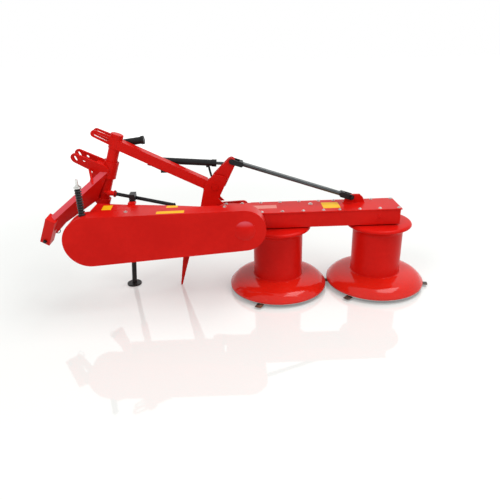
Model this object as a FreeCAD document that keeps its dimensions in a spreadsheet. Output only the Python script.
"""Two-drum mower with a three-point hitch, a belt drive and a hydraulically lifted cutter bar.

Frame of the part, in millimetres: X runs outwards along the cutter bar, Y points away from
the belt guard, Z is up.  The origin is on the ground under the inner drum's axis.
"""
import FreeCAD, Part
import Sketcher
import math
import os
import re

Vector = FreeCAD.Vector

# Driving dimensions: alias, value (mm or degrees), what it is.
DIMENSIONS = (
    ("drum_pitch", 656, "distance between the two drum axes"),
    ("rim_radius", 320, "outer radius of a drum's dish"),
    ("rim_low", 24, "height of the dish rim's lower edge"),
    ("rim_high", 39, "height of the dish rim's upper edge"),
    ("dish_top", 100, "height of the weld between dish and drum"),
    ("drum_radius", 160, "outer radius of the drum's cylinder"),
    ("drum_wall", 6, "sheet thickness of drum and dish"),
    ("flange_radius", 210, "radius of the drum's top flange"),
    ("flange_low", 430, "height of the flange's lower edge"),
    ("flange_high", 450, "height of the flange's top face"),
    ("flange_thick", 8, "thickness of the drum's top plate"),
    ("hub_wall", 25, "thickness of a drum's hub round its spindle"),
    ("hub_depth", 40, "depth of that hub below the flange's top face"),
    ("flare_low", 392, "height at which the drum starts to flare"),
    ("carrier_thick", 6, "thickness of the blade carrier disc"),
    ("carrier_hole", 53, "radius of that disc's hole round the skid's hub"),
    ("skid_radius", 190, "radius of the skid saucer"),
    ("skid_sole", 150, "radius of the flat sole of the skid"),
    ("skid_thick", 14, "height of the skid saucer"),
    ("skid_hub", 45, "radius of the skid's bearing hub"),
    ("skid_floor", 8, "thickness of the skid's disc"),
    ("skid_web", 6, "thickness of the skid under its spindle"),
    ("skid_hub_high", 40, "top of the skid's bearing hub"),
    ("spindle_low", 7, "lower end of the fixed spindles"),
    ("spindle_radius", 25, "radius of the fixed spindle inside a drum"),
    ("run_gap", 0.3, "radial gap of the hidden bearings"),
    ("blade_reach", 352, "radius swept by a blade's tip"),
    ("blade_width", 44, "width of a blade"),
    ("blade_thick", 5, "thickness of a blade"),
    ("blade_low", 13, "underside of the blades"),
    ("blade_bolt_reach", 276, "distance from the drum's axis to a blade's bolt"),
    ("blade_length", 98, "length of a blade"),
    ("blade_boss", 13, "radius of the boss on a blade's bolt"),
    ("bar_low", 458, "underside of the gear bar"),
    ("bar_high", 554, "top face of the gear bar"),
    ("bar_half", 105, "half width of the gear bar"),
    ("bar_left", -370, "inner end of the gear bar"),
    ("bar_right", 761, "outer end of the gear bar"),
    ("cover_thick", 8, "thickness of the gear bar's cover"),
    ("cover_lip", 7, "overhang of the cover beyond the bar"),
    ("cover_inset", 5, "distance from the bar's inner end to its cover"),
    ("cover_room", 5, "room between a trunnion and the cover's slot"),
    ("pivot_x", -220, "axis on which the cutter bar tilts"),
    ("pivot_z", 533, "height of that axis"),
    ("trunnion_radius", 45, "radius of the bar's trunnion bosses"),
    ("journal_radius", 30, "radius of the front journal"),
    ("cheek_radius", 75, "outer radius of the front yoke cheek round its journal"),
    ("back_journal", 20, "radius of the back journal"),
    ("back_boss", 30, "radius of the boss behind the gear bar"),
    ("back_cheek", 36, "outer radius of the back yoke cheek round its journal"),
    ("cheek_thick", 15, "thickness of a yoke cheek"),
    ("cheek_front", -180, "inner face of the front yoke cheek"),
    ("cheek_back", 128, "inner face of the back yoke cheek"),
    ("trunnion_gap", 6, "gap between a trunnion boss and its cheek"),
    ("cheek_root", 45, "radius of a cheek at the cross tube"),
    ("cheek_root_z", 515, "height of that end of a cheek"),
    ("frame_y", 40, "middle plane of the carrying frame"),
    ("beam_width", 70, "width of the square frame tubes"),
    ("lower_beam_low", 460, "underside of the lower beam"),
    ("lower_beam_high", 560, "top of the lower beam"),
    ("lower_beam_left", -1060, "inner end of the lower beam"),
    ("cross_left", -470, "left face of the yoke's cross tube"),
    ("cross_right", -402, "right face of the yoke's cross tube"),
    ("cross_low", 470, "underside of the cross tube"),
    ("cross_high", 560, "top of the cross tube"),
    ("foot_left", -1160, "inner end of the mast's foot plate"),
    ("foot_length", 200, "length of the foot plate"),
    ("foot_margin", 10, "overhang of the foot plate on each side of the beam"),
    ("foot_thick", 12, "thickness of the foot plate"),
    ("mast_x", -1116, "mast axis at the mast's reference height"),
    ("mast_z", 610, "reference height on the mast axis"),
    ("mast_tilt", 19.2, "lean of the mast, its top towards the drums"),
    ("mast_radius", 34, "radius of the mast"),
    ("cap_length", 90, "length of the cap over the mast's top"),
    ("top_beam_deep", 58, "depth of the upper beam"),
    ("mast_length", 430, "length of the mast above its reference height"),
    ("mast_drop", 38, "length of the mast below its reference height"),
    ("mast_neck", 60, "length of the mast's reach that only the cap covers"),
    ("cap_wall", 4, "wall of the cap outside the mast"),
    ("upper_fork_inside", 27, "half gap between the two upper forks"),
    ("lever_x", -395, "pivot of the lift lever"),
    ("lever_z", 705, "height of that pivot"),
    ("stay_in_x", -286, "inner pin of the stay rod"),
    ("stay_in_z", 860, "height of that pin"),
    ("stay_out_x", 474, "outer pin of the stay rod"),
    ("stay_out_z", 602, "height of that pin"),
    ("rod_eye_x", -304, "pin of the lift cylinder's rod on the lever"),
    ("rod_eye_z", 826, "height of that pin"),
    ("lever_inside", 12, "half gap between the lever's plates"),
    ("lever_root", 40, "radius of a lever plate at its pivot"),
    ("lever_tip", 22, "radius of a lever plate at the stay's pin"),
    ("lever_hub", 30, "radius of the lever's hub"),
    ("lever_pin", 20, "radius of the lever's pivot pin"),
    ("pin_overhang", 4, "how far the pivot pin stands out of the plates"),
    ("stay_pin_half", 40, "half length of the stay's inner pin"),
    ("outer_pin_half", 38, "half length of the stay's outer pin"),
    ("stay_lug_thick", 16, "thickness of the stay's outer lug"),
    ("stay_radius", 14, "radius of the stay rod"),
    ("stay_margin", 70, "distance from a stay pin to the end of its rod"),
    ("fork_ear", 8, "thickness of a stay fork's ear"),
    ("near_fork", 16, "radius of the stay's inner fork round its pin"),
    ("near_fork_gap", 26, "half gap of that fork"),
    ("far_fork", 18, "radius of the stay's outer fork round its pin"),
    ("far_fork_gap", 14, "half gap of that fork"),
    ("fork_reach", 62, "length of a stay fork's ears from the pin"),
    ("fork_block_near", 50, "near end of the block that joins the ears"),
    ("barrel_x", -790, "pin of the lift cylinder's barrel on the frame"),
    ("barrel_z", 865, "height of that pin"),
    ("cylinder_y", 106, "middle plane of the lift cylinder"),
    ("barrel_radius", 20, "outer radius of the lift cylinder"),
    ("barrel_start", 26, "distance from the barrel's pin to its closed end"),
    ("barrel_end", 408, "distance from the barrel's pin to its open end"),
    ("gland_radius", 23, "radius of the gland at the open end"),
    ("gland_start", 380, "start of the gland"),
    ("gland_end", 410, "end of the gland"),
    ("rod_radius", 10, "radius of the lift cylinder's rod"),
    ("rod_start", 150, "inner end of the rod, from the barrel's pin"),
    ("bore_start", 60, "closed end of the barrel's bore"),
    ("eye_radius", 20, "outer radius of the barrel's and the rod's eyes"),
    ("eye_half", 11, "half thickness of those eyes"),
    ("lug_reach", 30, "length of the lug that joins the barrel to its eye"),
    ("lug_end", 18, "radius of that lug at the barrel"),
    ("rod_end_gap", 14, "distance from the rod's end to the eye's middle"),
    ("eye_play", 5, "room of the rod's eye round its pin"),
    ("fork_play", 3, "room of the stay's outer fork round its pin"),
    ("barrel_pin", 12, "radius of the barrel's pin"),
    ("eye_pin_reach", 16, "how far a cylinder pin reaches past the cylinder's middle"),
    ("port_left", -448, "left face of the hose port under the barrel"),
    ("port_low", 810, "underside of that port"),
    ("port_width", 24, "width of the port"),
    ("port_deep", 34, "depth of the port across the barrel"),
    ("port_high", 16, "height of the port"),
    ("bracket_thick", 6, "thickness of the barrel's bracket"),
    ("fitting_x", -399, "axis of the hose fitting on the back upright"),
    ("fitting_z", 652, "height of that axis"),
    ("fitting_back", 118, "back end of the fitting"),
    ("fitting_radius", 13, "radius of the fitting"),
    ("plate_thick", 10, "thickness of the lever and upright plates"),
    ("pin_radius", 10, "radius of the linkage pins"),
    ("guard_front", -330, "front face of the belt guard"),
    ("guard_back", -210, "back edge of the belt guard"),
    ("guard_skin", 3, "sheet thickness of the belt guard"),
    ("pulley_in_x", -1126, "centre of the guard's inner round end"),
    ("pulley_in_z", 494, "height of that centre"),
    ("guard_in_radius", 151, "radius of the guard's inner round end"),
    ("guard_out_radius", 124, "radius of the guard's outer round end"),
    ("guard_plate", 6, "thickness of the guard's back plate"),
    ("dome_radius", 110, "radius of the boss pressed into the guard's face"),
    ("dome_depth", 92, "how far behind the face its centre lies"),
    ("carrier_left", -1010, "left face of the tube that carries the guard"),
    ("carrier_low", 480, "underside of that tube"),
    ("carrier_width", 60, "width of that square tube"),
    ("spacer_radius", 60, "radius of the spacer round the pivot"),
    ("spring_x", -1155, "axis of the belt tensioner's spring"),
    ("spring_y", -270, "the same across the guard"),
    ("spring_low", 633, "lower end of the spring"),
    ("spring_length", 171, "length of the spring"),
    ("spring_radius", 20, "outer radius of the spring"),
    ("washer_radius", 22, "radius of the washer on the spring"),
    ("washer_thick", 6, "thickness of that washer"),
    ("tension_bolt", 8, "radius of the tensioner's bolt"),
    ("tension_bolt_length", 44, "length of that bolt above the washer"),
    ("tray_low", 640, "underside of the tray behind the guard"),
    ("tray_thick", 8, "thickness of that tray"),
    ("tray_web_x", -984, "left face of the web under the tray"),
    ("tray_web_deep", 100, "depth of that web"),
    ("latch_radius", 11, "radius of the breakaway rod"),
    ("latch_lug_radius", 12, "radius of the lug that holds the rod at the mast"),
    ("shaft_x", -1130, "axis of the drive input shaft"),
    ("shaft_z", 495, "height of that axis"),
    ("shaft_radius", 17.4, "radius of the splined input stub"),
    ("shaft_core_radius", 22, "radius of the shaft inside its bearing housing"),
    ("stub_length", 91, "length of the input stub beyond the housing"),
    ("housing_radius", 45, "outer radius of the input bearing housing"),
    ("housing_length", 90, "length of the input bearing housing"),
    ("core_inset", 6, "how far the shaft's core stays in front of the guard's back"),
    ("stand_x", -994, "centre of the stand's foot"),
    ("stand_y", 100, "middle plane of the stand"),
    ("stand_tilt", 5, "lean of the stand"),
    ("stand_radius", 16, "radius of the stand's tube"),
    ("stand_low", 5, "lower end of the stand's tube"),
    ("stand_high", 460, "upper end of the stand's tube"),
    ("stand_foot", 49, "radius of the stand's foot"),
    ("stand_foot_thick", 10, "thickness of the stand's foot"),
    ("sleeve_wall", 9, "wall of the stand's sleeve and its gap"),
    ("sleeve_gap", 0.6, "gap between the stand and its sleeve"),
    ("sleeve_low", 330, "lower end of the sleeve"),
    ("sleeve_high", 556, "upper end of the sleeve"),
    ("swing_rest", 82, "swing of the hitch from work to transport"),
    ("hitch_x", -1060, "middle plane of the hitch, turned to work"),
    ("hitch_half", 341, "half distance between the hitch legs"),
    ("hitch_tube", 60, "width of the hitch's square legs"),
    ("hitch_wall", 6, "wall of the hitch's legs"),
    ("leg_open", 60, "depth to which a leg's foot is open"),
    ("arm_half", 20, "half width of a hitch arm"),
    ("arm_root", 158, "length along the mast at which the arms' middle planes meet"),
    ("knee_y", 225, "knee of a hitch arm, hitch turned to work"),
    ("knee_low", 540, "underside of an arm at the knee"),
    ("knee_high", 625, "top of an arm at the knee"),
    ("root_low", 680, "underside of an arm at the mast"),
    ("root_high", 856, "top of an arm at the mast"),
    ("leg_foot_y", 261, "lower end of a hitch leg"),
    ("leg_foot_z", 427, "height of the leg's lower end"),
    ("link_gap", 50, "gap between a hitch leg and its lug"),
    ("link_pin_radius", 11, "radius of the lower link pins"),
    ("link_pin_y", 256, "lower link pin, hitch turned to work"),
    ("link_pin_z", 452, "height of the lower link pin"),
    ("link_pin_out", 12, "how far the pin stands out of the leg"),
    ("link_pin_in", 26, "how far the pin reaches past its lug's middle"),
    ("lug_y", 184, "upper end of a link lug, hitch turned to work"),
    ("lug_z", 592, "height of that end"),
    ("lug_root", 24, "radius of a lug's upper end"),
    ("lug_tip", 24, "radius of a lug round its pin"),
    ("collar_radius", 46, "outer radius of the hitch's collars"),
    ("low_collar", 8, "lower end of the lower collar, along the mast"),
    ("low_collar_top", 46, "upper end of the lower collar"),
    ("high_collar", 186, "lower end of the upper collar"),
    ("high_collar_top", 286, "upper end of the upper collar"),
    ("top_hole_y", 238, "middle of the end slot, hitch turned to work"),
    ("top_hole_z", 864, "height of that middle"),
    ("top_hole_radius", 10, "radius of the round hole behind the slot"),
    ("top_gap", 46, "gap between the two top link plates"),
    ("top_root_y", 66, "root of a top link plate"),
    ("top_root_z", 842, "height of that root"),
    ("top_root", 40, "radius of a plate's root"),
    ("top_tip", 32, "radius of a plate's end"),
    ("top_block_deep", 52, "depth of the block between the plates"),
    ("top_block_low", 812, "underside of that block"),
    ("top_block_high", 60, "height of that block"),
    ("top_slot_radius", 9, "half width of the end slot"),
    ("hole_to_slot", 52, "distance from the end slot back to the round hole"),
    ("slot_run_y", 4, "half run of the slot away from the mast"),
    ("slot_run_z", 7, "half run of the slot upwards"),
    ("brace_radius", 8, "radius of the brace under the plates"),
)

doc = FreeCAD.newDocument("drum_mower")
sheet = doc.addObject("Spreadsheet::Sheet", "Dims")
for row, (alias, value, meaning) in enumerate(DIMENSIONS, start=1):
    sheet.set(f"A{row}", meaning)
    sheet.set(f"B{row}", str(value))
    sheet.setAlias(f"B{row}", alias)
doc.recompute()

ALIASES = {alias for alias, value, meaning in DIMENSIONS}
NODES = []


def bind(text):
    """Turn 'bar_left + 5' into an expression on the sheet's cells."""
    def prefix(match):
        word = match.group(0)
        return "Dims." + word if word in ALIASES else word
    return re.sub(r"[A-Za-z_]\w*", prefix, str(text))


def number(text):
    """The present value of such an expression."""
    result = sheet.evalExpression(bind(text))
    return float(getattr(result, "Value", result))


def place(obj, x="0", y="0", z="0", axis=(0, 0, 1), angle="0"):
    """Bind an object's placement: its base point and one rotation about an axis."""
    ax, ay, az = axis
    obj.setExpression("Placement", bind(
        f"placement(vector({x}; {y}; {z}); rotation(vector({ax}; {ay}; {az}); {angle}))"))
    return obj


def node(obj, name):
    """Give a finished piece its label, which names its file."""
    obj.Label = name
    NODES.append(obj)
    return obj


def box(name, size, corner):
    obj = doc.addObject("Part::Box", name)
    for prop, text in zip(("Length", "Width", "Height"), size):
        obj.setExpression(prop, bind(text))
    return place(obj, *corner)


TURN = {"x": ((0, 1, 0), "90"), "y": ((1, 0, 0), "-90"), "z": ((0, 0, 1), "0")}


def cylinder(name, radius, length, base, along="z"):
    """A cylinder that starts at base and runs towards +X, +Y or +Z."""
    obj = doc.addObject("Part::Cylinder", name)
    obj.setExpression("Radius", bind(radius))
    obj.setExpression("Height", bind(length))
    axis, angle = TURN[along]
    return place(obj, *base, axis=axis, angle=angle)


def rod(name, radius, start, end):
    """A cylinder between two points given as expressions."""
    dx, dy, dz = (f"(({e}) - ({s}))" for s, e in zip(start, end))
    obj = doc.addObject("Part::Cylinder", name)
    obj.setExpression("Radius", bind(radius))
    obj.setExpression("Height", bind(f"sqrt({dx}^2 + {dy}^2 + {dz}^2)"))
    axis = (f"0 - {dy}", dx, "0")
    return place(obj, *start, axis=axis, angle=f"atan2(sqrt({dx}^2 + {dy}^2); {dz})")


def beam(name, start, end, y, width, depth):
    """A straight bar in the XZ plane: its axis runs from start to end, y is its front face."""
    dx = f"(({end[0]}) - ({start[0]}))"
    dz = f"(({end[1]}) - ({start[1]}))"
    rise = f"atan2({dz}; {dx})"
    obj = doc.addObject("Part::Box", name)
    obj.setExpression("Length", bind(f"sqrt({dx}^2 + {dz}^2)"))
    obj.setExpression("Width", bind(width))
    obj.setExpression("Height", bind(depth))
    x = f"({start[0]}) + ({depth}) / 2 * sin({rise})"
    z = f"({start[1]}) - ({depth}) / 2 * cos({rise})"
    return place(obj, x, y, z, axis=(0, 1, 0), angle=f"-1 * {rise}")


def wedge(name, length, root, tip, x, y, z, turn):
    """A tapered box along its own Y: root and tip are (half width, low, high)."""
    obj = doc.addObject("Part::Wedge", name)
    values = {"Ymin": "0", "Ymax": length,
              "Xmin": f"0 - ({root[0]})", "Xmax": root[0], "Zmin": root[1], "Zmax": root[2],
              "X2min": f"0 - ({tip[0]})", "X2max": tip[0], "Z2min": tip[1], "Z2max": tip[2]}
    for prop, text in values.items():
        setattr(obj, prop, number(text))
        obj.setExpression(prop, bind(text))
    return place(obj, x, y, z, angle=turn)


def distance(start, end):
    return f"sqrt((({end[0]}) - ({start[0]}))^2 + (({end[1]}) - ({start[1]}))^2)"


def toward(start, end, reach):
    """The point in the XZ plane at a given reach from start towards end."""
    span = distance(start, end)
    return tuple(f"(({a}) + (({b}) - ({a})) * ({reach}) / {span})" for a, b in zip(start, end))


def between(name, radius, start, end, near, far, y):
    """A round bar on the line from start to end, from one reach along it to another."""
    first, last = toward(start, end, near), toward(start, end, far)
    return rod(name, radius, (first[0], y, first[1]), (last[0], y, last[1]))


def stay_length(start, end, margin):
    return f"({distance(start, end)} - ({margin}))"


def origin_plane(body, role):
    return [item for item in body.Origin.OriginFeatures if item.Role == role][0]


def new_sketch(body, name, role="XZ_Plane"):
    sketch = body.newObject("Sketcher::SketchObject", name)
    sketch.AttachmentSupport = [(origin_plane(body, role), "")]
    sketch.MapMode = "FlatFace"
    return sketch


def pin_point(sketch, geo, end, x, y):
    """Hold a sketch point at bound coordinates."""
    for kind, text in (("DistanceX", x), ("DistanceY", y)):
        index = sketch.addConstraint(Sketcher.Constraint(kind, -1, 1, geo, end, number(text)))
        sketch.setExpression(f"Constraints[{index}]", bind(text))


def draw_polygon(sketch, points):
    """Closed outline of straight lines through bound points."""
    spots = [Vector(number(x), number(y), 0) for x, y in points]
    count = len(spots)
    for i in range(count):
        sketch.addGeometry(Part.LineSegment(spots[i], spots[(i + 1) % count]))
    for i in range(count):
        sketch.addConstraint(Sketcher.Constraint("Coincident", i, 2, (i + 1) % count, 1))
    for i, (x, y) in enumerate(points):
        pin_point(sketch, i, 1, x, y)


def draw_link(sketch, reach, radius_a, radius_b):
    """Two round ends joined by their outer tangents: centres at 0 and at reach on X."""
    length, ra, rb = number(reach), number(radius_a), number(radius_b)
    slope = math.acos((ra - rb) / length)
    up = Vector(math.cos(slope), math.sin(slope), 0)
    down = Vector(math.cos(slope), -math.sin(slope), 0)
    far = Vector(length, 0, 0)
    normal = Vector(0, 0, 1)
    circle_a = Part.Circle(Vector(0, 0, 0), normal, ra)
    circle_b = Part.Circle(far, normal, rb)
    sketch.addGeometry(Part.ArcOfCircle(circle_a, slope, 2 * math.pi - slope))
    sketch.addGeometry(Part.ArcOfCircle(circle_b, -slope, slope))
    sketch.addGeometry(Part.LineSegment(up * ra, far + up * rb))
    sketch.addGeometry(Part.LineSegment(far + down * rb, down * ra))
    for first, second in (((0, 1), (2, 1)), ((2, 2), (1, 2)), ((1, 1), (3, 1)), ((3, 2), (0, 2))):
        sketch.addConstraint(Sketcher.Constraint("Tangent", *first, *second))
    pin_point(sketch, 0, 3, "0", "0")
    pin_point(sketch, 1, 3, reach, "0")
    for geo, text in ((0, radius_a), (1, radius_b)):
        index = sketch.addConstraint(Sketcher.Constraint("Radius", geo, number(text)))
        sketch.setExpression(f"Constraints[{index}]", bind(text))


def pad(body, name, sketch, length):
    """Extrude a sketch on the XZ plane towards +Y."""
    feature = body.newObject("PartDesign::Pad", name)
    feature.Profile = sketch
    feature.Reversed = True
    feature.setExpression("Length", bind(length))
    return feature


def plate(name, points, y, thick):
    """A flat plate in the XZ plane with a straight-sided outline; y is its front face."""
    body = doc.addObject("PartDesign::Body", name)
    sketch = new_sketch(body, name + "_outline")
    draw_polygon(sketch, points)
    pad(body, name + "_pad", sketch, thick)
    return place(body, y=y)


def link(name, start, end, radius_a, radius_b, y, thick):
    """A flat link in the XZ plane with round ends about start and end."""
    dx = f"(({end[0]}) - ({start[0]}))"
    dz = f"(({end[1]}) - ({start[1]}))"
    body = doc.addObject("PartDesign::Body", name)
    sketch = new_sketch(body, name + "_outline")
    draw_link(sketch, f"sqrt({dx}^2 + {dz}^2)", radius_a, radius_b)
    pad(body, name + "_pad", sketch, thick)
    return place(body, start[0], y, start[1], axis=(0, 1, 0), angle=f"-1 * atan2({dz}; {dx})")


def side_link(name, start, end, radius_a, radius_b, x, thick):
    """As link, but in the YZ plane: x is the plate's outer face towards +X."""
    dy = f"(({end[0]}) - ({start[0]}))"
    dz = f"(({end[1]}) - ({start[1]}))"
    body = doc.addObject("PartDesign::Body", name)
    sketch = new_sketch(body, name + "_outline")
    draw_link(sketch, f"sqrt({dy}^2 + {dz}^2)", radius_a, radius_b)
    pad(body, name + "_pad", sketch, thick)
    body.setExpression("Placement", bind(
        f"placement(vector({x}; {start[0]}; {start[1]}); rotation(vector(0; 0; 1); 90)"
        f" * rotation(vector(0; 1; 0); -1 * atan2({dz}; {dy})))"))
    return body


def slab(name, points, z, thick):
    """A flat plate in the XY plane; z is its underside."""
    body = doc.addObject("PartDesign::Body", name)
    sketch = new_sketch(body, name + "_outline", "XY_Plane")
    draw_polygon(sketch, points)
    feature = pad(body, name + "_pad", sketch, thick)
    feature.Reversed = False
    return place(body, z=z)


def turned(name, profile, x="0", y="0", z="0"):
    """A body turned about its own vertical axis from (radius, height) points."""
    body = doc.addObject("PartDesign::Body", name)
    sketch = new_sketch(body, name + "_profile")
    draw_polygon(sketch, profile)
    feature = body.newObject("PartDesign::Revolution", name + "_turn")
    feature.Profile = sketch
    feature.ReferenceAxis = (sketch, ["V_Axis"])
    feature.Angle = 360
    return place(body, x, y, z)


def cut(name, base, *tools):
    result = base
    for count, tool in enumerate(tools):
        step = doc.addObject("Part::Cut", f"{name}_{count}")
        step.Base = result
        step.Tool = tool
        result = step
    return result


def fuse(name, *shapes):
    obj = doc.addObject("Part::MultiFuse", name)
    obj.Shapes = list(shapes)
    obj.Refine = True
    return obj


def fork(name, pin, other, radius, inside, ear, hole):
    """A clevis about a pin in the XZ plane: inside is half its gap, ear its thickness."""
    middle = toward(pin, other, "fork_reach")
    ears = []
    for side, y in (("front", f"frame_y - {inside} - {ear}"), ("back", f"frame_y + {inside}")):
        raw = link(f"{name}_{side}", pin, middle, radius, radius, y, ear)
        bore = cylinder(f"{name}_hole_{side}", hole, ear, (pin[0], y, pin[1]), "y")
        ears.append(cut(f"{name}_ear_{side}", raw, bore))
    block = beam(f"{name}_block", toward(pin, other, "fork_block_near"), toward(pin, other, "stay_margin"),
                 f"frame_y - {inside} - {ear}", f"2 * ({inside} + {ear})", f"2 * {radius}")
    return fuse(f"{name}_body", *ears, block)


def group(name, *shapes):
    """Like pieces that do not touch, kept in one node."""
    obj = doc.addObject("Part::Compound", name)
    obj.Links = list(shapes)
    return obj


# ---------------------------------------------------------------- drums and skids

SHELL_PROFILE = (
    ("drum_radius - drum_wall", "dish_top"), ("drum_radius", "dish_top"),
    ("drum_radius", "flare_low"), ("drum_radius + 18", "flare_low + 22"),
    ("flange_radius - 12", "flange_low - 3"), ("flange_radius", "flange_low"),
    ("flange_radius", "flange_low + flange_thick"), ("flange_radius - 14", "flange_high"),
    ("spindle_radius + run_gap", "flange_high"),
    ("spindle_radius + run_gap", "flange_high - hub_depth"),
    ("spindle_radius + hub_wall", "flange_high - hub_depth"),
    ("spindle_radius + hub_wall", "flange_high - flange_thick"),
    ("drum_radius - drum_wall", "flange_high - flange_thick"))
DISH_PROFILE = (
    ("drum_radius - drum_wall", "dish_top"), ("drum_radius", "dish_top"),
    ("drum_radius + 8", "dish_top + 2"),
    ("drum_radius + 60", "dish_top - 3"), ("drum_radius + 108", "dish_top - 15"),
    ("rim_radius - 20", "rim_high + 24"), ("rim_radius", "rim_high"),
    ("rim_radius", "rim_low"), ("rim_radius - drum_wall", "rim_low"),
    ("rim_radius - drum_wall", "rim_high - drum_wall / 2"),
    ("rim_radius - 25", "rim_high + 19"), ("drum_radius + 105", "dish_top - 21"),
    ("drum_radius + 58", "dish_top - 9"), ("drum_radius - drum_wall", "dish_top - 6"))
CARRIER_PROFILE = (
    ("carrier_hole", "rim_low"), ("rim_radius - drum_wall", "rim_low"),
    ("rim_radius - drum_wall", "rim_low + carrier_thick"),
    ("carrier_hole", "rim_low + carrier_thick"))
SKID_PROFILE = (
    ("0", "0"), ("skid_sole", "0"), ("skid_radius", "skid_thick - 4"),
    ("skid_radius", "skid_thick"), ("skid_sole", "skid_floor"), ("skid_hub", "skid_floor"),
    ("skid_hub", "skid_hub_high"), ("spindle_radius + run_gap", "skid_hub_high"),
    ("spindle_radius + run_gap", "skid_web"), ("0", "skid_web"))
BLADES_PER_DRUM = 3
BLADE_STEP = 360 // BLADES_PER_DRUM


def make_blade(name, x, angle):
    """A flat blade with its bolt's boss, pointing outwards at an angle from +X."""
    sine, cosine = f"sin({angle} * 1deg)", f"cos({angle} * 1deg)"
    root = "(blade_reach - blade_length)"
    blade = box(f"blade_{name}", ("blade_length", "blade_width", "blade_thick"), ("0", "0", "0"))
    place(blade, f"{x} + {root} * {cosine} + blade_width / 2 * {sine}",
          f"{root} * {sine} - blade_width / 2 * {cosine}", "blade_low", angle=str(angle))
    boss = cylinder(f"blade_boss_{name}", "blade_boss", "rim_low - blade_low - 1",
                    (f"{x} + blade_bolt_reach * {cosine}", f"blade_bolt_reach * {sine}",
                     "blade_low + 1"))
    return fuse(f"blade_and_boss_{name}", blade, boss)


def make_drum(side, x, first_angle):
    node(turned(f"shell_{side}", SHELL_PROFILE, x), f"drum_shell_{side}")
    node(turned(f"dish_{side}", DISH_PROFILE, x), f"drum_dish_{side}")
    node(turned(f"carrier_{side}", CARRIER_PROFILE, x), f"blade_carrier_{side}")
    blades = [make_blade(f"{side}_{count}", x, first_angle + BLADE_STEP * count)
              for count in range(BLADES_PER_DRUM)]
    node(group(f"blades_of_{side}", *blades), f"blades_{side}")


def make_skid(side, x):
    node(turned(f"skid_body_{side}", SKID_PROFILE, x), f"skid_{side}")
    return cylinder(f"spindle_body_{side}", "spindle_radius", "bar_low - spindle_low",
                    (x, "0", "spindle_low"))


def make_drums():
    spindles = []
    for side, x, first_angle in (("inner", "0", 4), ("outer", "drum_pitch", -14)):
        make_drum(side, x, first_angle)
        spindles.append(make_skid(side, x))
    node(group("spindle_pair", *spindles), "drum_spindles")


make_drums()


# ---------------------------------------------------------------- cutter bar

LUG_FOOT = "bar_high + cover_thick"
LUG_OUTLINE = (
    ("stay_out_x - 52", LUG_FOOT), ("stay_out_x + 91", LUG_FOOT),
    ("stay_out_x + 78", "stay_out_z - 4"), ("stay_out_x + 57", "stay_out_z + 16"),
    ("stay_out_x - 8", "stay_out_z + 16"), ("stay_out_x - 26", "stay_out_z + 4"))


def make_gear_bar():
    case = box("bar_case", ("bar_right - bar_left", "2 * bar_half", "bar_high - bar_low"),
               ("bar_left", "0 - bar_half", "bar_low"))
    front = cylinder("trunnion_front", "trunnion_radius", "0 - bar_half - (cheek_front + trunnion_gap)",
                     ("pivot_x", "cheek_front + trunnion_gap", "pivot_z"), "y")
    back = cylinder("trunnion_back", "back_boss", "cheek_back - trunnion_gap - bar_half",
                    ("pivot_x", "bar_half", "pivot_z"), "y")
    journal_front = cylinder("journal_front", "journal_radius", "cheek_thick",
                             ("pivot_x", "cheek_front - cheek_thick + trunnion_gap", "pivot_z"), "y")
    journal_back = cylinder("journal_back", "back_journal", "cheek_thick + trunnion_gap",
                            ("pivot_x", "cheek_back - trunnion_gap", "pivot_z"), "y")
    cover_clear = box("case_trim", ("2 * trunnion_radius", "2 * bar_half", "trunnion_radius"),
                      ("pivot_x - trunnion_radius", "0 - bar_half", "bar_high"))
    bar = fuse("gear_bar_body", case, front, back, journal_front, journal_back)
    node(cut("gear_bar_cut", bar, cover_clear), "gear_bar")


def make_cover():
    cover = box("cover_body",
                ("bar_right - bar_left - cover_inset + cover_lip", "2 * (bar_half + cover_lip)",
                 "cover_thick"),
                ("bar_left + cover_inset", "0 - bar_half - cover_lip", "bar_high"))
    slots = [box(f"cover_slot_{name}",
                 ("2 * (trunnion_radius + cover_room)", "cover_lip + 1", "cover_thick"),
                 ("pivot_x - trunnion_radius - cover_room", y, "bar_high"))
             for name, y in (("front", "0 - bar_half - cover_lip - 1"), ("back", "bar_half"))]
    node(cut("cover_cut", cover, *slots), "bar_cover")


def make_stay_lug():
    lug_front = "frame_y - stay_lug_thick / 2"
    lug = plate("lug_plate", LUG_OUTLINE, lug_front, "stay_lug_thick")
    pin = cylinder("lug_pin_body", "pin_radius", "2 * outer_pin_half",
                   ("stay_out_x", "frame_y - outer_pin_half", "stay_out_z"), "y")
    lug_hole = cylinder("lug_hole", "pin_radius", "stay_lug_thick",
                        ("stay_out_x", lug_front, "stay_out_z"), "y")
    node(cut("stay_lug_cut", lug, lug_hole), "stay_lug")
    node(pin, "stay_outer_pin")


make_gear_bar()
make_cover()
make_stay_lug()


# ---------------------------------------------------------------- carrying frame

MAST_SIN = "sin(mast_tilt * 1deg)"
MAST_COS = "cos(mast_tilt * 1deg)"


def on_mast(height):
    """The point of the mast's axis at a length along it from the reference point."""
    return (f"mast_x + ({height}) * {MAST_SIN}", "frame_y", f"mast_z + ({height}) * {MAST_COS}")


def along_mast(name, radius, low, high):
    return rod(name, radius, on_mast(low), on_mast(high))


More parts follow.
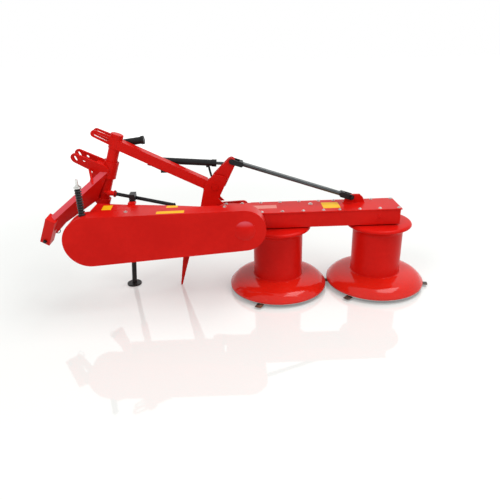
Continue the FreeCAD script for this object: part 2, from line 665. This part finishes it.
ROOM = "200"    # larger than any section that a cutting box has to span
BEAM_FRONT = "frame_y - beam_width / 2"
BEAM_BACK = "frame_y + beam_width / 2"
UPPER_BEAM_INNER = ("-975", "986.6")
UPPER_BEAM_OUTER = ("-451.5", "721.8")
UPRIGHT_LEFT = (("-390", "lower_beam_low + 15"), ("-500", "lower_beam_low + 15"), ("-491", "588"),
                ("-466", "696"))
UPRIGHT_RIGHT = (("-318", "744"), ("-374", "629"), ("-340", "592"), ("-390", "590"))
UPRIGHT_TOP = {"front": (("-431", "756"), ("-398", "788"), ("-330", "770")),
               "back": (("-440", "738"), ("-412", "752"), ("-350", "752"))}
UPPER_FORK = ("-1006", "1012"), ("-1094", "1056"), "26", "22"
UPPER_FORK_SLOT = ("-1022", "1020"), ("-1086", "1052"), "10", "9.9"


def upper_beam_block(name):
    """The upper beam before it is fitted to the mast."""
    return beam(name, UPPER_BEAM_INNER, UPPER_BEAM_OUTER, BEAM_FRONT, "beam_width", "top_beam_deep")


def make_mast_and_lower_beam():
    mast = along_mast("mast_body", "mast_radius", "0 - mast_drop - 20", "mast_length - mast_neck")
    foot_trim = box("mast_trim", (ROOM, ROOM, f"{ROOM} / 2 + foot_thick"),
                    ("mast_x - 84", f"frame_y - {ROOM} / 2", f"lower_beam_high - {ROOM} / 2"))
    node(cut("mast_cut", mast, foot_trim), "mast_post")
    node(box("foot_plate", ("foot_length", "beam_width + 2 * foot_margin", "foot_thick"),
             ("foot_left", "frame_y - beam_width / 2 - foot_margin", "lower_beam_high")),
         "mast_foot_plate")
    node(box("lower_beam_body",
             ("cross_left - lower_beam_left", "beam_width", "lower_beam_high - lower_beam_low"),
             ("lower_beam_left", BEAM_FRONT, "lower_beam_low")), "lower_beam")


def make_yoke():
    """The cross tube with its two cheeks; returns the tube, which the uprights are fitted to."""
    cross = box("cross_tube", ("cross_right - cross_left", "cheek_back - cheek_front",
                               "cross_high - cross_low"), ("cross_left", "cheek_front", "cross_low"))
    cheeks = []
    sides = (("front", "cheek_front - cheek_thick", "cheek_radius", "journal_radius"),
             ("back", "cheek_back", "back_cheek", "back_journal"))
    for side, y, radius, journal in sides:
        arm = link(f"cheek_{side}", ("pivot_x", "pivot_z"), ("cross_left + 40", "cheek_root_z"),
                   radius, "cheek_root", y, "cheek_thick")
        bore = cylinder(f"cheek_bore_{side}", f"{journal} + run_gap", "cheek_thick",
                        ("pivot_x", y, "pivot_z"), "y")
        cheeks.append(cut(f"cheek_cut_{side}", arm, bore))
    node(fuse("yoke_body", cross, *cheeks), "bar_yoke")
    return cross


def make_uprights(cross):
    plates = []
    for side, y in (("front", "frame_y - beam_width / 2 - plate_thick"), ("back", BEAM_BACK)):
        raw = plate(f"upright_{side}", UPRIGHT_LEFT + UPRIGHT_TOP[side] + UPRIGHT_RIGHT, y, "plate_thick")
        bore = cylinder(f"upright_bore_{side}", "lever_pin + run_gap", "plate_thick",
                        ("lever_x", y, "lever_z"), "y")
        plates.append(cut(f"upright_cut_{side}", raw, bore, cross))
    node(group("upright_pair", *plates), "upright_plates")


def make_mast_top():
    neck = "mast_length - mast_neck"
    cap = along_mast("cap_body", "mast_radius + cap_wall", neck, f"{neck} + cap_length")
    top = upper_beam_block("upper_beam_body")
    mast_seat = along_mast("upper_beam_seat", "mast_radius", f"{neck} - 100", neck)
    node(cut("upper_beam_cut", top, cap, mast_seat), "upper_beam")
    node(cap, "mast_cap")

    forks = []
    for side, y in (("front", "frame_y - upper_fork_inside - plate_thick"),
                    ("back", "frame_y + upper_fork_inside")):
        raw = link(f"fork_{side}", *UPPER_FORK, y, "plate_thick")
        slot = link(f"fork_slot_{side}", *UPPER_FORK_SLOT, y, "plate_thick")
        forks.append(cut(f"fork_cut_{side}", raw, slot, cap))
    node(group("fork_pair", *forks), "upper_forks")


def make_frame():
    make_mast_and_lower_beam()
    make_uprights(make_yoke())
    make_mast_top()


make_frame()


# ---------------------------------------------------------------- belt guard and drive input

def make_guard():
    def shell(name, shrink, y, depth):
        return link(name, ("pulley_in_x", "pulley_in_z"), ("pivot_x", "pivot_z"),
                    f"guard_in_radius - {shrink}", f"guard_out_radius - {shrink}", y, depth)
    depth = "guard_back - guard_front"
    outer = shell("guard_outer", "0", "guard_front", depth)
    inner = shell("guard_inner", "guard_skin", "guard_front + guard_skin", depth)
    dome = doc.addObject("Part::Sphere", "dome_ball")
    dome.setExpression("Radius", bind("dome_radius"))
    place(dome, "pivot_x", "guard_front + dome_depth", "pivot_z")
    keep = box("dome_keep", (ROOM, "dome_radius", ROOM),
               (f"pivot_x - {ROOM} / 2", "guard_front - dome_radius", f"pivot_z - {ROOM} / 2"))
    common = doc.addObject("Part::Common", "dome_cap")
    common.Base = dome
    common.Tool = keep
    node(fuse("guard_body", cut("guard_cut", outer, inner), common), "belt_guard")
    back = shell("guard_plate_body", "guard_skin", "guard_back - guard_plate", "guard_plate")
    spacer = cylinder("pivot_spacer", "spacer_radius", "cheek_front - cheek_thick - guard_back",
                      ("pivot_x", "guard_back", "pivot_z"), "y")
    node(fuse("guard_back_body", back, spacer), "guard_back_plate")
    node(box("carrier_tube", ("carrier_width", "frame_y - beam_width / 2 - guard_back", "carrier_width"),
             ("carrier_left", "guard_back", "carrier_low")), "guard_carrier_tube")


def make_input():
    housing_at = ("shaft_x", "guard_back", "shaft_z")
    housing = cylinder("housing_outer", "housing_radius", "housing_length", housing_at, "y")
    bore = cylinder("housing_bore", "shaft_core_radius + run_gap", "housing_length", housing_at, "y")
    node(cut("housing_cut", housing, bore), "input_bearing_housing")
    core = cylinder("input_core", "shaft_core_radius", "housing_length - core_inset",
                    ("shaft_x", "guard_back + core_inset", "shaft_z"), "y")
    stub = cylinder("input_stub", "shaft_radius", "stub_length",
                    ("shaft_x", "guard_back + housing_length", "shaft_z"), "y")
    node(fuse("input_body", core, stub), "input_shaft")


make_guard()
make_input()


def make_tensioner():
    axis = ("spring_x", "spring_y")
    spring_high = "spring_low + spring_length"
    spring = cylinder("spring_body", "spring_radius", "spring_length", (*axis, "spring_low"))
    seat = link("spring_seat", ("pulley_in_x", "pulley_in_z"), ("pivot_x", "pivot_z"),
                "guard_in_radius", "guard_out_radius", "guard_front", "guard_back - guard_front")
    node(cut("spring_cut", spring, seat), "tensioner_spring")
    washer = cylinder("washer_body", "washer_radius", "washer_thick", (*axis, spring_high))
    bolt = cylinder("bolt_body", "tension_bolt", "tension_bolt_length",
                    (*axis, f"{spring_high} + washer_thick"))
    node(fuse("tensioner_top", bolt, washer), "tensioner_bolt")


make_tensioner()


TRAY_OUTLINE = (("-1124", "guard_back"), ("-480", "guard_back"), ("-480", "-195"),
                ("-632", "-160"), ("-916", "-116"), ("-1118", "-72"))
LATCH_TAB = ("44", "43", "14"), ("-918", "-135", "tray_low + tray_thick")


def make_tray():
    tray = slab("tray_plate", TRAY_OUTLINE, "tray_low", "tray_thick")
    web_low = "carrier_low + carrier_width"
    web = box("tray_web", ("tray_thick", "tray_web_deep", f"tray_low - ({web_low})"),
              ("tray_web_x", "guard_back", web_low))
    tab = box("latch_tab", *LATCH_TAB)
    node(fuse("tray_body", tray, web, tab), "guard_tray")


make_tray()


LATCH_START = ("-1006", "-6", "684")
LATCH_END = ("-640", "-120", "637")
LATCH_AT_MAST = ("-1086", "12", "694")
LATCH_BLOCK = ("34", "66", "42"), ("-913", "-102", "662")


def make_breakaway():
    node(rod("latch_rod", "latch_radius", LATCH_START, LATCH_END), "breakaway_rod")
    lug = rod("latch_lug_bar", "latch_lug_radius", LATCH_AT_MAST, LATCH_START)
    seat = along_mast("latch_lug_seat", "mast_radius", "0", ROOM)
    rod_seat = rod("latch_lug_bore", "latch_radius", LATCH_START, LATCH_END)
    node(cut("latch_lug_cut", lug, seat, rod_seat), "breakaway_lug")
    block = box("latch_block", *LATCH_BLOCK)
    node(cut("latch_block_cut", block, rod_seat), "rod_clamp")


make_breakaway()


PROP_PLATE = (("-600", "lower_beam_low"), ("-522", "lower_beam_low"), ("-655", "1"), ("-667", "1"))
PROP_WEB = (("-536", "lower_beam_low"), ("-522", "lower_beam_low"), ("-607", "166"), ("-615", "166"))
PROP_Y, PROP_THICK, PROP_WEB_THICK = 58, 10, 30
DOCUMENT_START = ("-944", "100", "979")
DOCUMENT_JOIN = ("-838", "100", "991.5")
DOCUMENT_END = ("-820", "100", "993.6")
DOCUMENT_RADIUS, DOCUMENT_CAP = 22, 26


def make_small_frame_pieces():
    leg = plate("prop_plate", PROP_PLATE, str(PROP_Y), str(PROP_THICK))
    web = plate("prop_web", PROP_WEB, str(PROP_Y - PROP_WEB_THICK), str(PROP_WEB_THICK))
    node(fuse("prop_body", leg, web), "prop_leg")
    tube = rod("document_body", DOCUMENT_RADIUS, DOCUMENT_START, DOCUMENT_JOIN)
    cap = rod("document_cap_body", DOCUMENT_CAP, DOCUMENT_JOIN, DOCUMENT_END)
    clip = box("document_clip", ("18", "32", "46"), ("-922", BEAM_BACK, "930"))
    node(fuse("document_holder", tube, cap, clip), "document_tube")


make_small_frame_pieces()


# ---------------------------------------------------------------- lift linkage

LEVER_WEB = (("-302", "878"), ("-398", "784"), ("-424", "740"), ("-395", "680"),
             ("-330", "705"), ("-303", "759"), ("-266", "832"), ("-264", "852"))
BRACKET_OUTLINE = (("-812", "842"), ("-790", "838"), ("-724", "803"), ("-686", "803"),
                   ("-686", "824"), ("-764", "878"), ("-790", "892"), ("-812", "888"))
SADDLE = ("38", "60", "50"), ("-724", "frame_y - 25", "803")
LEVER_PIVOT = ("lever_x", "lever_z")
STAY_IN, STAY_OUT = ("stay_in_x", "stay_in_z"), ("stay_out_x", "stay_out_z")
BARREL_PIN, ROD_EYE = ("barrel_x", "barrel_z"), ("rod_eye_x", "rod_eye_z")


def make_lever():
    plates = []
    for side, y in (("front", "frame_y - lever_inside - plate_thick"), ("back", "frame_y + lever_inside")):
        arm = link(f"lever_arm_{side}", LEVER_PIVOT, STAY_IN, "lever_root", "lever_tip", y, "plate_thick")
        web = plate(f"lever_web_{side}", LEVER_WEB, y, "plate_thick")
        plates.append(fuse(f"lever_{side}", arm, web))
    hub = cylinder("lever_hub_body", "lever_hub", "2 * lever_inside",
                   ("lever_x", "frame_y - lever_inside", "lever_z"), "y")
    pin = cylinder("lever_pin_body", "lever_pin", "beam_width + 2 * (plate_thick + pin_overhang)",
                   ("lever_x", "frame_y - beam_width / 2 - plate_thick - pin_overhang", "lever_z"), "y")
    stay_pin = cylinder("stay_pin", "pin_radius", "2 * stay_pin_half",
                        ("stay_in_x", "frame_y - stay_pin_half", "stay_in_z"), "y")
    eye_start = "frame_y + lever_inside + plate_thick"
    eye_pin = cylinder("eye_pin", "pin_radius", f"cylinder_y + eye_pin_reach - ({eye_start})",
                       ("rod_eye_x", eye_start, "rod_eye_z"), "y")
    node(cut("lever_cut", fuse("lever_body", *plates, hub, pin), stay_pin), "lift_lever")
    node(group("lever_pin_pair", stay_pin, eye_pin), "lever_pins")


def make_stay():
    near_fork = fork("stay_fork_in", STAY_IN, STAY_OUT, "near_fork", "near_fork_gap", "fork_ear",
                     "pin_radius + run_gap")
    far_fork = fork("stay_fork_out", STAY_OUT, STAY_IN, "far_fork", "far_fork_gap", "fork_ear",
                    "pin_radius + fork_play")
    node(group("stay_fork_pair", near_fork, far_fork), "stay_forks")
    node(between("stay_rod_body", "stay_radius", STAY_IN, STAY_OUT, "stay_margin",
                 stay_length(STAY_IN, STAY_OUT, "stay_margin"), "frame_y"), "stay_rod")


def make_lift_cylinder():
    def along(name, radius, near, far):
        return between(name, radius, BARREL_PIN, ROD_EYE, near, far, "cylinder_y")

    def across(name, radius, pin):
        return cylinder(name, radius, "2 * eye_half", (pin[0], "cylinder_y - eye_half", pin[1]), "y")
    barrel = along("barrel_tube", "barrel_radius", "barrel_start", "barrel_end")
    gland = along("barrel_gland", "gland_radius", "gland_start", "gland_end")
    lug = link("barrel_lug", BARREL_PIN, toward(BARREL_PIN, ROD_EYE, "lug_reach"), "eye_radius", "lug_end",
               "cylinder_y - eye_half", "2 * eye_half")
    port = box("barrel_port", ("port_width", "port_deep", "port_high"),
               ("port_left", "cylinder_y - port_width / 2", "port_low"))
    bore = along("barrel_bore", "rod_radius + run_gap", "bore_start", "gland_end + 6")
    hole = across("barrel_hole", "barrel_pin + run_gap", BARREL_PIN)
    body = fuse("barrel_body", barrel, gland, lug, port)
    node(cut("barrel_cut", body, bore, hole), "cylinder_barrel")
    rod_bar = along("rod_bar", "rod_radius", "rod_start", f"{distance(BARREL_PIN, ROD_EYE)} - rod_end_gap")
    rod_eye = across("rod_eye_ring", "eye_radius", ROD_EYE)
    eye_hole = across("rod_eye_hole", "pin_radius + eye_play", ROD_EYE)
    node(cut("rod_cut", fuse("rod_body", rod_bar, rod_eye), eye_hole), "cylinder_rod")


def make_cylinder_bracket():
    bracket = plate("barrel_plate", BRACKET_OUTLINE, BEAM_BACK, "bracket_thick")
    saddle = box("barrel_saddle", *SADDLE)
    pin = cylinder("barrel_pin_body", "barrel_pin", f"cylinder_y + eye_pin_reach - ({BEAM_BACK})",
                   ("barrel_x", BEAM_BACK, "barrel_z"), "y")
    beam_seat = upper_beam_block("barrel_seat")
    node(cut("barrel_bracket_cut", fuse("barrel_bracket_body", bracket, saddle, pin), beam_seat),
         "cylinder_bracket")


make_lever()
make_stay()
make_lift_cylinder()
make_cylinder_bracket()


# ---------------------------------------------------------------- hitch

def swung(obj, name):
    """Turn a hitch piece, drawn in its working place, about the mast to its transport place."""
    holder = doc.addObject("Part::Compound", name + "_swung")
    holder.Links = [obj]
    holder.setExpression("Placement", bind(
        f"placement(vector(0; 0; 0); rotation(vector({MAST_SIN}; 0; {MAST_COS}); swing_rest);"
        "vector(mast_x; frame_y; mast_z))"))
    return node(holder, name)


def leg_x(sign):
    return f"(hitch_x + {sign} * hitch_half)"


def hitch_leg(side, sign):
    """A square tube from the arm's knee down to the lower link pin, open at its foot."""
    lean = "atan2(leg_foot_y - knee_y; knee_high - leg_foot_z)"
    solids = []
    for part, inset, height in (
            ("leg", "0", "sqrt((leg_foot_y - knee_y)^2 + (knee_high - leg_foot_z)^2)"),
            ("leg_hollow", "hitch_wall", "leg_open")):
        solid = box(f"{part}_{side}", (f"hitch_tube - 2 * {inset}", f"hitch_tube - 2 * {inset}", height),
                    ("0", "0", "0"))
        place(solid, f"{leg_x(sign)} - hitch_tube / 2 + {inset}",
              f"leg_foot_y - (hitch_tube / 2 - {inset}) * cos({lean})",
              f"leg_foot_z - (hitch_tube / 2 - {inset}) * sin({lean})",
              axis=(1, 0, 0), angle=lean)
        solids.append(solid)
    bore = cylinder(f"leg_bore_{side}", "link_pin_radius", "hitch_tube + 2",
                    (f"{leg_x(sign)} - hitch_tube / 2 - 1", "link_pin_y", "link_pin_z"), "x")
    return solids[0], cut(f"leg_cut_{side}", *solids, bore)


def hitch_arm(side, sign, leg):
    """A box arm from the mast to the knee, tapering in height."""
    root_x = "(mast_x + arm_root * tan(mast_tilt * 1deg))"
    dx, dy = f"({leg_x(sign)} - {root_x})", "(knee_y - frame_y)"
    arm = wedge(f"arm_{side}", f"sqrt({dx}^2 + {dy}^2)", ("arm_half", "root_low", "root_high"),
                ("arm_half", "knee_low", "knee_high"), root_x, "frame_y", "0",
                f"atan2({dy}; {dx}) - 90deg")
    seat = along_mast(f"arm_seat_{side}", "collar_radius", "0 - 40", "320")
    return cut(f"arm_cut_{side}", arm, seat, leg)


def link_lug(side, sign, arm):
    """The plate inboard of a leg that holds the other end of the lower link pin."""
    middle = f"({leg_x(sign)} - {sign} * (hitch_tube / 2 + link_gap + plate_thick / 2))"
    lug = side_link(f"lug_{side}", ("lug_y", "lug_z"), ("link_pin_y", "link_pin_z"),
                    "lug_root", "lug_tip", f"{middle} + plate_thick / 2", "plate_thick")
    bore = cylinder(f"lug_bore_{side}", "link_pin_radius", "plate_thick + 2",
                    (f"{middle} - plate_thick / 2 - 1", "link_pin_y", "link_pin_z"), "x")
    pin = rod(f"link_pin_body_{side}", "link_pin_radius",
              (f"({leg_x(sign)} + {sign} * (hitch_tube / 2 + link_pin_out))", "link_pin_y", "link_pin_z"),
              (f"({middle} - {sign} * link_pin_in)", "link_pin_y", "link_pin_z"))
    return cut(f"lug_cut_{side}", lug, bore, arm), pin


def make_collars():
    rings = []
    for name, low, high in (("low", "low_collar", "low_collar_top"),
                            ("high", "high_collar", "high_collar_top")):
        ring = along_mast(f"ring_{name}", "collar_radius", low, high)
        bore = along_mast(f"ring_bore_{name}", "mast_radius + run_gap", low, high)
        rings.append(cut(f"ring_cut_{name}", ring, bore))
    swung(group("ring_pair", *rings), "hitch_collars")


BRACE_TOP = ("-1092", "147", "823.7")
BRACE_FOOT = ("-1172", "87", "778.3")


def make_top_bracket(near_arm, far_arm):
    """Two plates on the upper collar with a slot and a hole for the top link's pin."""
    seat = along_mast("top_seat", "collar_radius", "100", "400")
    plates = []
    for side, x in (("near", "hitch_x - top_gap / 2"), ("far", "hitch_x + top_gap / 2 + plate_thick")):
        raw = side_link(f"top_plate_{side}", ("top_root_y", "top_root_z"), ("top_hole_y", "top_hole_z"),
                        "top_root", "top_tip", x, "plate_thick")
        hole = cylinder(f"top_hole_{side}", "top_hole_radius", "plate_thick + 2",
                        (f"{x} - plate_thick - 1", "top_hole_y - hole_to_slot", "top_hole_z + 2"), "x")
        slot = side_link(f"top_slot_{side}",
                         ("top_hole_y - slot_run_y", "top_hole_z - slot_run_z"),
                         ("top_hole_y + slot_run_y", "top_hole_z + slot_run_z"),
                         "top_slot_radius", "top_slot_radius - 0.1", x, "plate_thick")
        plates.append(cut(f"top_cut_{side}", raw, hole, slot))
    block = box("top_block", ("top_gap", "top_block_deep", "top_block_high"),
                ("hitch_x - top_gap / 2", "top_root_y", "top_block_low"))
    bracket = cut("top_bracket_cut", fuse("top_bracket_body", *plates, block), seat, near_arm, far_arm)
    swung(bracket, "top_link_bracket")
    brace = rod("brace_body", "brace_radius", BRACE_TOP, BRACE_FOOT)
    swung(cut("brace_cut", brace, bracket, near_arm), "hitch_brace")


def make_hitch():
    make_collars()
    arms, legs, lugs, pins = [], [], [], []
    for side, sign in (("near", "-1"), ("far", "1")):
        solid_leg, leg = hitch_leg(side, sign)
        arm = hitch_arm(side, sign, solid_leg)
        lug, pin = link_lug(side, sign, arm)
        arms.append(arm)
        legs.append(leg)
        lugs.append(lug)
        pins.append(pin)
    swung(arms[0], "hitch_arm_near")
    swung(arms[1], "hitch_arm_far")
    swung(group("leg_pair", *legs), "hitch_legs")
    swung(group("lug_pair", *lugs), "link_lugs")
    swung(group("link_pin_pair", *pins), "lower_link_pins")
    make_top_bracket(*arms)


make_hitch()


def make_stand():
    lean = "stand_tilt * 1deg"

    def at(height):
        return (f"stand_x + ({height}) * tan({lean})", "stand_y", height)
    tube = rod("stand_tube_body", "stand_radius", at("stand_low"), at("stand_high"))
    foot = cylinder("stand_foot_body", "stand_foot", "stand_foot_thick", ("stand_x", "stand_y", "0"))
    node(fuse("stand_body", tube, foot), "stand_leg")
    sleeve = rod("stand_sleeve_outer", "stand_radius + sleeve_wall", at("sleeve_low"), at("sleeve_high"))
    bore = rod("stand_sleeve_bore", "stand_radius + sleeve_gap",
               at("sleeve_low - 5"), at("sleeve_high + 5"))
    beam_trim = box("stand_sleeve_trim", (ROOM, "beam_width", ROOM),
                    ("lower_beam_left", BEAM_FRONT, "lower_beam_low - 60"))
    node(cut("stand_sleeve_cut", sleeve, bore, beam_trim), "stand_sleeve")


make_stand()


HOSE_RADIUS = 7
HOSE_ROUTE = ((-436, 128.1, 818), (-436, 148, 818), (-435, 166, 804), (-432, 174, 778), (-424, 168, 745),
              (-413, 148, 715), (-402, 118, 699), (-399.5, 109.5, 683), (-399, 108, 665.8))


def tube_along(route, radius):
    """A round tube on straight runs joined by tangent arcs as large as the runs allow."""
    points = [Vector(*p) for p in route]
    edges = []
    last = points[0]
    for before, corner, after in zip(points, points[1:], points[2:]):
        first, second = (before - corner), (after - corner)
        turn = math.pi - first.getAngle(second)
        trim = 0.45 * min(first.Length, second.Length)
        start = corner + first.normalize() * trim
        end = corner + second.normalize() * trim
        middle_way = (start + end) * 0.5 - corner
        bend = trim / math.tan(turn / 2)
        depth = bend / math.cos(turn / 2) - bend
        middle = corner + middle_way.normalize() * depth
        edges.append(Part.LineSegment(last, start).toShape())
        edges.append(Part.Arc(start, middle, end).toShape())
        print(f"hose bend radius {bend:.0f} mm")
        last = end
    edges.append(Part.LineSegment(last, points[-1]).toShape())
    path = Part.Wire(edges)
    profile = Part.Wire(Part.makeCircle(radius, points[0], points[1] - points[0]))
    shape = path.makePipeShell([profile], True, False)
    print(f"hose length {path.Length:.0f} mm, volume ratio "
          f"{shape.Volume / (math.pi * radius ** 2 * path.Length):.4f}")
    return shape


def make_hose():
    hose = doc.addObject("Part::Feature", "hose_body")
    hose.Shape = tube_along(HOSE_ROUTE, HOSE_RADIUS)
    node(hose, "lift_hose")
    fitting_front = f"{BEAM_BACK} + plate_thick"
    node(cylinder("hose_fitting_body", "fitting_radius", f"fitting_back - ({fitting_front})",
                  ("fitting_x", fitting_front, "fitting_z"), "y"), "hose_fitting")


make_hose()


def make_outputs():
    doc.recompute()
    failed = [obj.Name for obj in doc.Objects
              if "Invalid" in obj.State or "Error" in obj.State]
    if failed:
        raise RuntimeError(f"objects that did not compute: {failed}")
    for obj in NODES:
        if obj.Shape.isNull() or not obj.Shape.isValid() or obj.Shape.Volume <= 0:
            raise RuntimeError(f"bad shape: {obj.Label}")
    os.makedirs("parts", exist_ok=True)
    for obj in NODES:
        obj.Shape.exportStep(f"parts/{obj.Label}.step")
        size = obj.Shape.BoundBox
        print(f"{obj.Label:26s} {obj.Shape.Volume / 1000:9.1f} cm3  x {size.XMin:.0f}..{size.XMax:.0f}"
              f"  y {size.YMin:.0f}..{size.YMax:.0f}  z {size.ZMin:.0f}..{size.ZMax:.0f}")


make_outputs()
